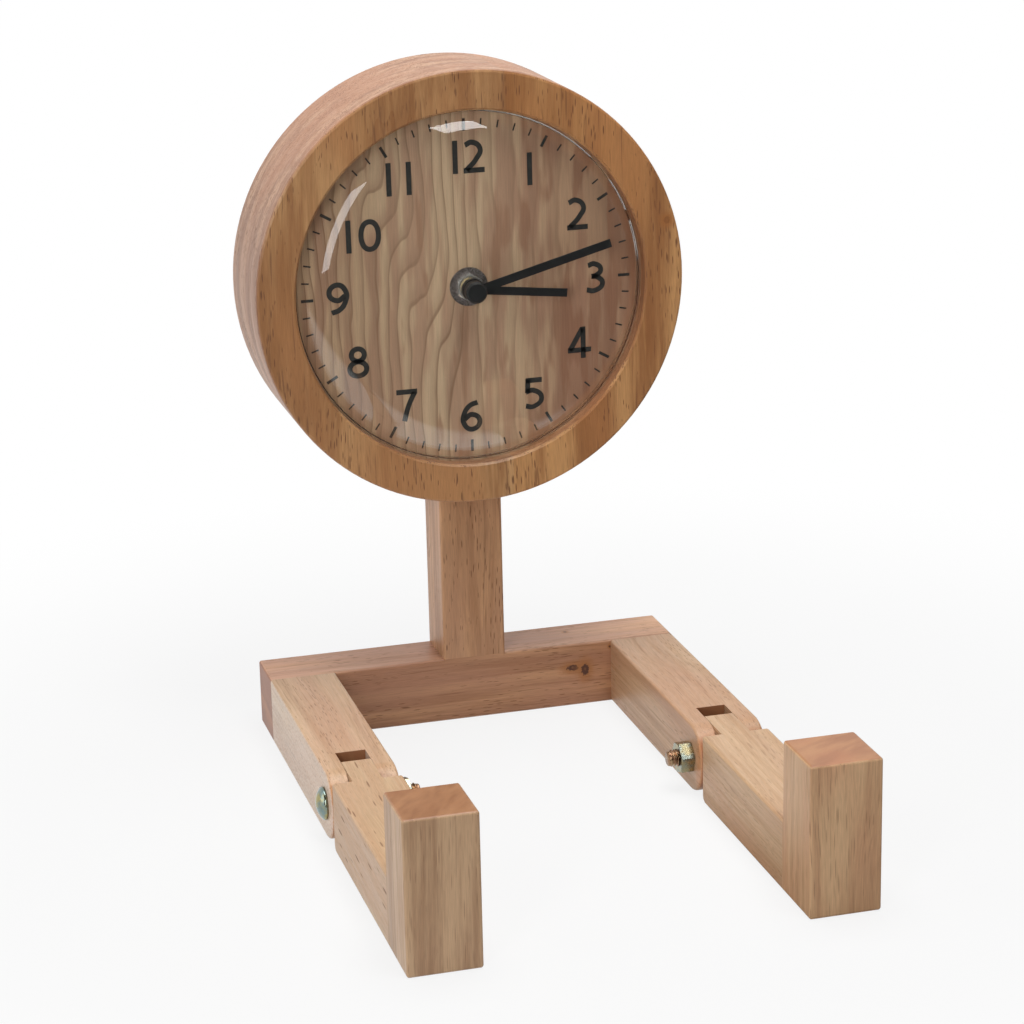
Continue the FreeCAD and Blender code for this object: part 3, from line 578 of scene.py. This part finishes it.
def side_sheen_and_glued_board(tree, place, colour):
    """The turned side is painted paler and pinker than the sanded front, a painted sheen, and
    the board to the right of the glue line is redder."""
    x = put(tree, "SeparateXYZ", {0: place["Object"]}).outputs["X"]
    facing = put(tree, "SeparateXYZ", {0: place["Normal"]}).outputs["Y"]
    side = between(tree, calc(tree, "ABSOLUTE", facing), 0.3, 0.8, 1, 0)
    right_board = between(tree, x, glue_line, glue_line + glue_width)
    colour = blend(tree, right_board, colour, (1.05, 0.98, 0.88, 1), "MULTIPLY")
    # Painted sheen: faces that don't face the front are made paler and pinker.
    return blend(tree, side, colour, (0.94, 0.96, 1.32, 1), "MULTIPLY")


case_knot = ((89.2, 91, 229.8), (1.5, 1.2, 1.6), 0.3)
finish_node("case", hardwood_finish(
    "case_wood", (0.58, 0.325, 0.14, 1), (0.31, 0.130, 0.045, 1), (0.46, 0.210, 0.080, 1), "z", 90,
    (0, 25, 40), ring=5.5, length=4.2, pores=1.1, ends=0.0, knots=(case_knot,), tint=side_sheen_and_glued_board))

# Domed glass
# A clear glass, 2 mm thick, bulged forwards with a gentle crown and a round shoulder. Its flat
# flange lies behind the lip of the case.

glass_low, glass_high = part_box("glass")
head_x = (glass_low.x + glass_high.x) / 2
head_z = (glass_low.z + glass_high.z) / 2
glass_rim = (glass_high.x - glass_low.x) / 2
glass_thickness = 0.002
glass_depth = glass_high.y - glass_low.y
glass_steps = 144
crown_power = 1.67
crown_rows = 16
shoulder_start = 0.060
shoulder_end = 0.0787
shoulder_rise = 0.0036
shoulder_rows = 20


def glass_line(inset):
    """The bulged skin: a gentle crown, then a round shoulder that leaves it without a kink."""
    down = glass_depth - glass_thickness - shoulder_rise
    start_slope = math.atan(shoulder_rise * crown_power / shoulder_start)
    chord = math.atan2(down, shoulder_end - shoulder_start)
    half_turn = chord - start_slope
    radius = math.hypot(down, shoulder_end - shoulder_start) / (2 * math.sin(half_turn))
    line = []
    for i in range(crown_rows + 1):
        share = i / crown_rows
        line.append((shoulder_start * share, shoulder_rise * share ** crown_power,
                     start_slope * share ** (crown_power - 1)))
    for i in range(1, shoulder_rows + 1):
        slope = start_slope + 2 * half_turn * i / shoulder_rows
        line.append((shoulder_start + radius * (math.sin(slope) - math.sin(start_slope)),
                     shoulder_rise + radius * (math.cos(start_slope) - math.cos(slope)), slope))
    return [(max(0.0, r - inset * math.sin(slope)), depth + inset * math.cos(slope))
            for r, depth, slope in line]


material, tree = new_material("clear_glass")
body = put(tree, "BsdfPrincipled", {"Base Color": (0.98, 1, 0.99, 1), "Roughness": 0.0, "IOR": 1.5,
                                    "Transmission Weight": 1.0}).outputs[0]
through = put(tree, "BsdfTransparent", {"Color": (0.93, 0.94, 0.93, 1)}).outputs[0]
path = put(tree, "LightPath").outputs
passing = calc(tree, "MAXIMUM", path["Is Shadow Ray"], path["Is Diffuse Ray"])
surface = put(tree, "MixShader", {0: passing, 1: body, 2: through}).outputs[0]
put(tree, "OutputMaterial", {"Surface": surface})
inner = glass_line(glass_thickness)
rim = [(glass_rim, glass_depth - glass_thickness), (glass_rim, glass_depth),
       (inner[-1][0], glass_depth)]
outline = glass_line(0) + rim + inner[::-1]
shape = bmesh.new()
points = [shape.verts.new((radius, depth, 0)) for radius, depth in outline]
lines = [shape.edges.new((point, points[(i + 1) % len(points)])) for i, point in enumerate(points)]
bmesh.ops.spin(shape, geom=points + lines, cent=(0, 0, 0), axis=(0, 1, 0), dvec=(0, 0, 0),
               angle=2 * math.pi, steps=glass_steps, use_merge=True, use_duplicate=False)
bmesh.ops.translate(shape, verts=shape.verts[:], vec=(head_x, glass_low.y, head_z))
glass = make_piece("domed_glass", shape, material)
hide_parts("glass")
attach(glass, "clock")

# Dial
# A fibreboard disc faced with a veneer, on which figures and minute marks are printed in black. It
# lies on the back of the glass's flange, and a sprung plastic hoop keeps it there. The veneer's
# lines run up the dial, and bend into a cathedral figure on its left half.

veneer_cream = (0.69, 0.475, 0.30, 1)
veneer_tan = (0.55, 0.33, 0.21, 1)
late_wood = (0.36, 0.205, 0.125, 1)
ring_edge = (0.28, 0.145, 0.08, 1)
flame_brown = (0.42, 0.215, 0.125, 1)
ruddy_tint = (0.80, 0.69, 0.66, 1)
lip_shadow_tint = (0.80, 0.74, 0.70, 1)
material, tree = new_material("dial_veneer")
place = put(tree, "TexCoord").outputs["Object"]
point = put(tree, "Mapping", {"Vector": place, "Location": (0, 0, -1000 * head_z),
                              "Scale": (1000, 1000, 1000)}).outputs[0]


def dial_noise(x, z, detail=2.0):
    """Noise with lumps of the given width and height in millimetres."""
    sized = vector_calc(tree, "MULTIPLY", point, (1 / x, 0, 1 / z))
    return put(tree, "TexNoise", {"Vector": sized, "Scale": 1.0, "Detail": detail,
                                  "Roughness": 0.55}).outputs["Fac"]


axes = put(tree, "SeparateXYZ", {0: point}).outputs
x, z = axes["X"], axes["Z"]
left_half = between(tree, x, -14, 6, 1, 0)
lean = calc(tree, "MULTIPLY_ADD", x, 2.2, 48)
step = calc(tree, "TANH", calc(tree, "DIVIDE", calc(tree, "ADD", lean, z), 19.0))
step = calc(tree, "MULTIPLY", calc(tree, "MULTIPLY", step, 5.8), left_half)
wander = calc(tree, "MULTIPLY", calc(tree, "SUBTRACT", dial_noise(24, 70, 1.5), 0.5), 15.0)
ripple = calc(tree, "MULTIPLY", calc(tree, "SUBTRACT", dial_noise(7, 22, 1.0), 0.5), 2.2)
flow = calc(tree, "ADD", calc(tree, "ADD", calc(tree, "SUBTRACT", x, step), wander), ripple)
count = calc(tree, "MULTIPLY", flow, calc(tree, "MULTIPLY_ADD", flow, -0.00085, 0.142))
phase = calc(tree, "FRACT", calc(tree, "ADD", count, 20.3))
late = calc(tree, "MULTIPLY", between(tree, phase, 0.30, 0.93),
            between(tree, phase, 0.94, 1.0, 1, 0))
edge = calc(tree, "MULTIPLY", between(tree, phase, 0.80, 0.92),
            between(tree, phase, 0.95, 1.0, 1, 0))
strong = between(tree, dial_noise(30, 60, 1.0), 0.3, 0.65, 0.45, 1.0)
quiet = between(tree, x, -4, 18, 1, 0.3)
late = calc(tree, "MULTIPLY", late, calc(tree, "MULTIPLY_ADD", quiet, 0.5, 0.5))
edge = calc(tree, "MULTIPLY", calc(tree, "MULTIPLY", edge, quiet), 0.6)
edge = calc(tree, "MULTIPLY", edge, strong)
band = between(tree, dial_noise(9, 75, 2.0), 0.43, 0.57)
veneer = blend(tree, band, veneer_cream, veneer_tan)
veneer = blend(tree, calc(tree, "MULTIPLY", late, 0.42), veneer, late_wood)
veneer = blend(tree, edge, veneer, ring_edge)
flame = calc(tree, "MULTIPLY_ADD", x, 0.0016, dial_noise(8, 46, 2.5))
veneer = blend(tree, between(tree, flame, 0.56, 0.67, 0, 0.75), veneer, flame_brown)
veneer = blend(tree, between(tree, x, 2, 50), veneer, ruddy_tint, "MULTIPLY")
# Painted shadow of the case's lip: the dial is darker on its left.
veneer = blend(tree, between(tree, x, -60, -20, 1, 0), veneer, lip_shadow_tint, "MULTIPLY")
hair = between(tree, dial_noise(0.5, 16, 2.0), 0.25, 0.75, 0.90, 1.08)
veneer = shaded(tree, veneer, hair)
bump = put(tree, "Bump", {"Height": hair, "Strength": 0.15, "Distance": 0.0001}).outputs[0]
skin = put(tree, "BsdfPrincipled", {"Base Color": veneer, "Normal": bump,
                                    "Roughness": between(tree, hair, 0.9, 1.08, 0.5, 0.62)})
put(tree, "OutputMaterial", {"Surface": skin.outputs[0]})
finish_node("dial_face", material)
finish_node("dial_board", skin_finish("fibreboard", (0.32, 0.21, 0.12, 1), (0.26, 0.16, 0.09, 1),
                                      (0.75, 0.9), grain=0.4, cloud=3.0, relief=0.6))
black_plastic = skin_finish("black_plastic", (0.022, 0.022, 0.023, 1), (0.018, 0.018, 0.018, 1),
                            (0.38, 0.55), grain=0.35, relief=0.35)
finish_node("retaining_hoop", black_plastic)

dial_ink = skin_finish("dial_ink", (0.022, 0.020, 0.018, 1), (0.030, 0.027, 0.024, 1), (0.5, 0.65),
                       grain=0.3, cloud=2.0)
dial_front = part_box("dial_face")[0].y
ink_thickness = 0.00006
ink_gap = 0.00002
print_left = 0.0003
print_down = 0.0006
figure_height = 0.0144
figure_stroke = 0.0023
figure_ring = 0.0585
mark_ring = 0.0744
# A figure's strokes go through (side, up) points that have its height as their unit.
figure_strokes = {
    "0": (((0, 0.92), (0.27, 0.5), (0, 0.08), (-0.27, 0.5), "closed"),),
    "1": (((0, 0), (0, 1)),),
    "2": (((-0.27, 0.845), (-0.05, 0.92), (0.20, 0.71), (0.07, 0.41), (-0.24, 0.09)),
          ((-0.33, 0.075), (0.33, 0.075))),
    "3": (((-0.23, 0.875), (-0.03, 0.92), (0.18, 0.735), (0.02, 0.55), (-0.12, 0.53)),
          ((-0.12, 0.53), (0.03, 0.515), (0.23, 0.29), (-0.03, 0.08), (-0.28, 0.115))),
    "4": (((0.12, 0), (0.12, 1)), ((-0.38, 0.265), (0.38, 0.265)), ((0.10, 0.96), (-0.31, 0.27))),
    "5": (((-0.27, 0.925), (0.25, 0.925)), ((-0.20, 0.98), (-0.22, 0.53)),
          ((-0.27, 0.565), (-0.02, 0.60), (0.23, 0.34), (-0.03, 0.08), (-0.28, 0.115))),
    "6": (((0.20, 0.935), (-0.06, 0.84), (-0.24, 0.58), (-0.26, 0.32), (0.0, 0.08), (0.26, 0.32),
           (0.02, 0.56), (-0.22, 0.43)),),
    "7": (((-0.33, 0.925), (0.33, 0.925)), ((0.25, 0.90), (0.04, 0.47), (-0.10, 0))),
    "8": (((0, 0.925), (0.20, 0.735), (0, 0.54), (-0.20, 0.735), "closed"),
          ((0, 0.52), (0.26, 0.29), (0, 0.08), (-0.26, 0.29), "closed")),
    "9": (((-0.20, 0.065), (0.06, 0.16), (0.24, 0.42), (0.26, 0.68), (0.0, 0.92), (-0.26, 0.68),
           (-0.02, 0.44), (0.22, 0.57)),)}
figure_places = [(text, figure_ring * math.sin(math.radians(30 * int(text))),
                  figure_ring * math.cos(math.radians(30 * int(text)))) for text in "123456789"]
figure_places += [("1", -0.0527, 0.0267), ("0", -0.0433, 0.0267), ("1", -0.0340, 0.0503),
                  ("1", -0.0251, 0.0503), ("1", -0.0042, 0.0580), ("2", 0.0042, 0.0580)]


def drawn(strokes, width):
    """A flat print of smooth strokes through (x, up) points, standing in front of the dial."""
    nib = bpy.data.curves.new("pen", "CURVE")
    nib.dimensions = "2D"
    outline = nib.splines.new("POLY")
    outline.points.add(3)
    for point, (side, face) in zip(outline.points, ((-1, -1), (1, -1), (1, 1), (-1, 1))):
        point.co = (side * width / 2, face * ink_thickness / 2, 0, 1)
    outline.use_cyclic_u = True
    pen = bpy.data.objects.new("pen", nib)
    scene.collection.objects.link(pen)
    curve = bpy.data.curves.new("print", "CURVE")
    curve.dimensions = "3D"
    curve.resolution_u = 16
    curve.twist_mode = "Z_UP"
    curve.bevel_mode = "OBJECT"
    curve.bevel_object = pen
    curve.use_fill_caps = True
    for stroke in strokes:
        spline = curve.splines.new("BEZIER")
        corners = [corner for corner in stroke if corner != "closed"]
        spline.bezier_points.add(len(corners) - 1)
        for point, (side, up) in zip(spline.bezier_points, corners):
            point.co = (side, up, 0)
            point.handle_left_type = point.handle_right_type = "AUTO"
        spline.use_cyclic_u = "closed" in stroke
    drawing = bpy.data.objects.new("print", curve)
    scene.collection.objects.link(drawing)
    bpy.context.view_layer.update()
    depsgraph = bpy.context.evaluated_depsgraph_get()
    flat = bpy.data.meshes.new_from_object(drawing.evaluated_get(depsgraph))
    bpy.data.objects.remove(drawing)
    bpy.data.objects.remove(pen)
    shape = bmesh.new()
    shape.from_mesh(flat)
    bpy.data.meshes.remove(flat)
    bmesh.ops.rotate(shape, verts=shape.verts[:], cent=(0, 0, 0),
                     matrix=Matrix.Rotation(math.pi / 2, 3, "X"))
    ink_middle = dial_front - ink_gap - ink_thickness / 2
    bmesh.ops.translate(shape, verts=shape.verts[:],
                        vec=(head_x - print_left, ink_middle, head_z - print_down))
    return shape


def printed(name, strokes, width):
    piece = make_piece(name, drawn(strokes, width), dial_ink, smooth=False)
    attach(piece, "clock")


strokes = []
for text, x_place, z_place in figure_places:
    for stroke in figure_strokes[text]:
        strokes.append([corner if corner == "closed" else
                        (x_place + corner[0] * figure_height,
                         z_place + (corner[1] - 0.5) * figure_height) for corner in stroke])
printed("dial_figures", strokes, figure_stroke)
for name, length, width, minutes in (
        ("hour_marks", 0.0052, 0.0013, range(0, 60, 5)),
        ("minute_marks", 0.0032, 0.0007, [minute for minute in range(60) if minute % 5])):
    strokes = []
    for minute in minutes:
        angle = math.radians(6 * minute)
        outwards = Vector((math.sin(angle), math.cos(angle)))
        strokes.append([tuple(outwards * (mark_ring - length)), tuple(outwards * mark_ring)])
    printed(name, strokes, width)

# Hands and the stack on the dial's centre
# A zinc washer and nut hold the movement's brass bush to the dial. The pressed hands and the cap
# are black. A rubber washer lies behind the board.

hand_black = skin_finish("hand_paint", (0.010, 0.010, 0.011, 1), (0.014, 0.014, 0.015, 1),
                         (0.32, 0.5), grain=0.4, cloud=8.0)
for name in ("hour_hand", "minute_hand", "minute_cap"):
    finish_node(name, hand_black)
finish_node("dial_washer", skin_finish("washer_zinc", (0.40, 0.35, 0.335, 1), (0.25, 0.21, 0.20, 1),
                                       (0.22, 0.36), metallic=0.7, grain=0.3, cloud=2.5,
                                       relief=0.05))
finish_node("dial_nut", skin_finish("bright_zinc", (0.90, 0.88, 0.86, 1), (0.80, 0.78, 0.75, 1),
                                    (0.12, 0.20), metallic=0.74, grain=0.3, cloud=4.0,
                                    relief=0.05))
finish_node("threaded_bush", skin_finish("bush_brass", (0.86, 0.62, 0.22, 1), (0.74, 0.52, 0.17, 1),
                                         (0.26, 0.4), metallic=0.4, cloud=3.0, relief=0.1))
finish_node("rubber_washer", skin_finish("washer_rubber", (0.016, 0.016, 0.016, 1),
                                         (0.022, 0.022, 0.021, 1), (0.7, 0.85), grain=0.3))

# Quartz movement
# A moulded black housing with white acetal wheels, a setting knob and one round cell in its bay.
# The screws through the beam and the case are of the same plated steel as the nuts.

for name in ("movement_shell", "movement_cover", "setting_knob"):
    finish_node(name, black_plastic)
wheel_white = skin_finish("wheel_acetal", (0.78, 0.77, 0.73, 1), (0.74, 0.73, 0.68, 1), (0.3, 0.45),
                          grain=0.4)
for name in ("minute_arbor", "centre_wheel", "motion_wheel", "hour_wheel"):
    finish_node(name, wheel_white)

cell_low, cell_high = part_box("battery")
bare_top = 0.0020
bare_base = 0.0012
band_end = 0.0080
jacket_edge = 0.0001
slate = ((0.045, 0.075, 0.095, 1), (0.058, 0.092, 0.114, 1))
pale = ((0.50, 0.50, 0.47, 1), (0.58, 0.58, 0.55, 1))
steel = ((0.50, 0.49, 0.47, 1), (0.62, 0.61, 0.59, 1))
material, tree = new_material("cell_jacket")
place = put(tree, "TexCoord").outputs["Object"]
along = put(tree, "SeparateXYZ", {0: place}).outputs["X"]
speck = put(tree, "TexNoise", {"Vector": place, "Scale": 1500.0, "Detail": 2.0}).outputs["Fac"]
band = between(tree, along, cell_low.x + band_end, cell_low.x + band_end + 2 * jacket_edge, 1, 0)
top = cell_low.x + bare_top
base = cell_high.x - bare_base
bare = calc(tree, "MAXIMUM", between(tree, along, top, top + jacket_edge, 1, 0),
            between(tree, along, base, base + jacket_edge))
jacket = blend(tree, band, blend(tree, speck, *slate), blend(tree, speck, *pale))
jacket = blend(tree, bare, jacket, blend(tree, speck, *steel))
skin = put(tree, "BsdfPrincipled", {"Base Color": jacket, "Metallic": bare,
                                    "Roughness": between(tree, speck, 0.2, 0.8, 0.22, 0.32)})
put(tree, "OutputMaterial", {"Surface": skin.outputs[0]})
finish_node("battery", material)
finish_node("battery_contacts", skin_finish("contact_steel", (0.60, 0.59, 0.56, 1),
                                            (0.52, 0.51, 0.48, 1), (0.22, 0.38), metallic=1.0,
                                            grain=0.4))
for name in ("post_screws", "case_screws"):
    finish_node(name, nut_steel)
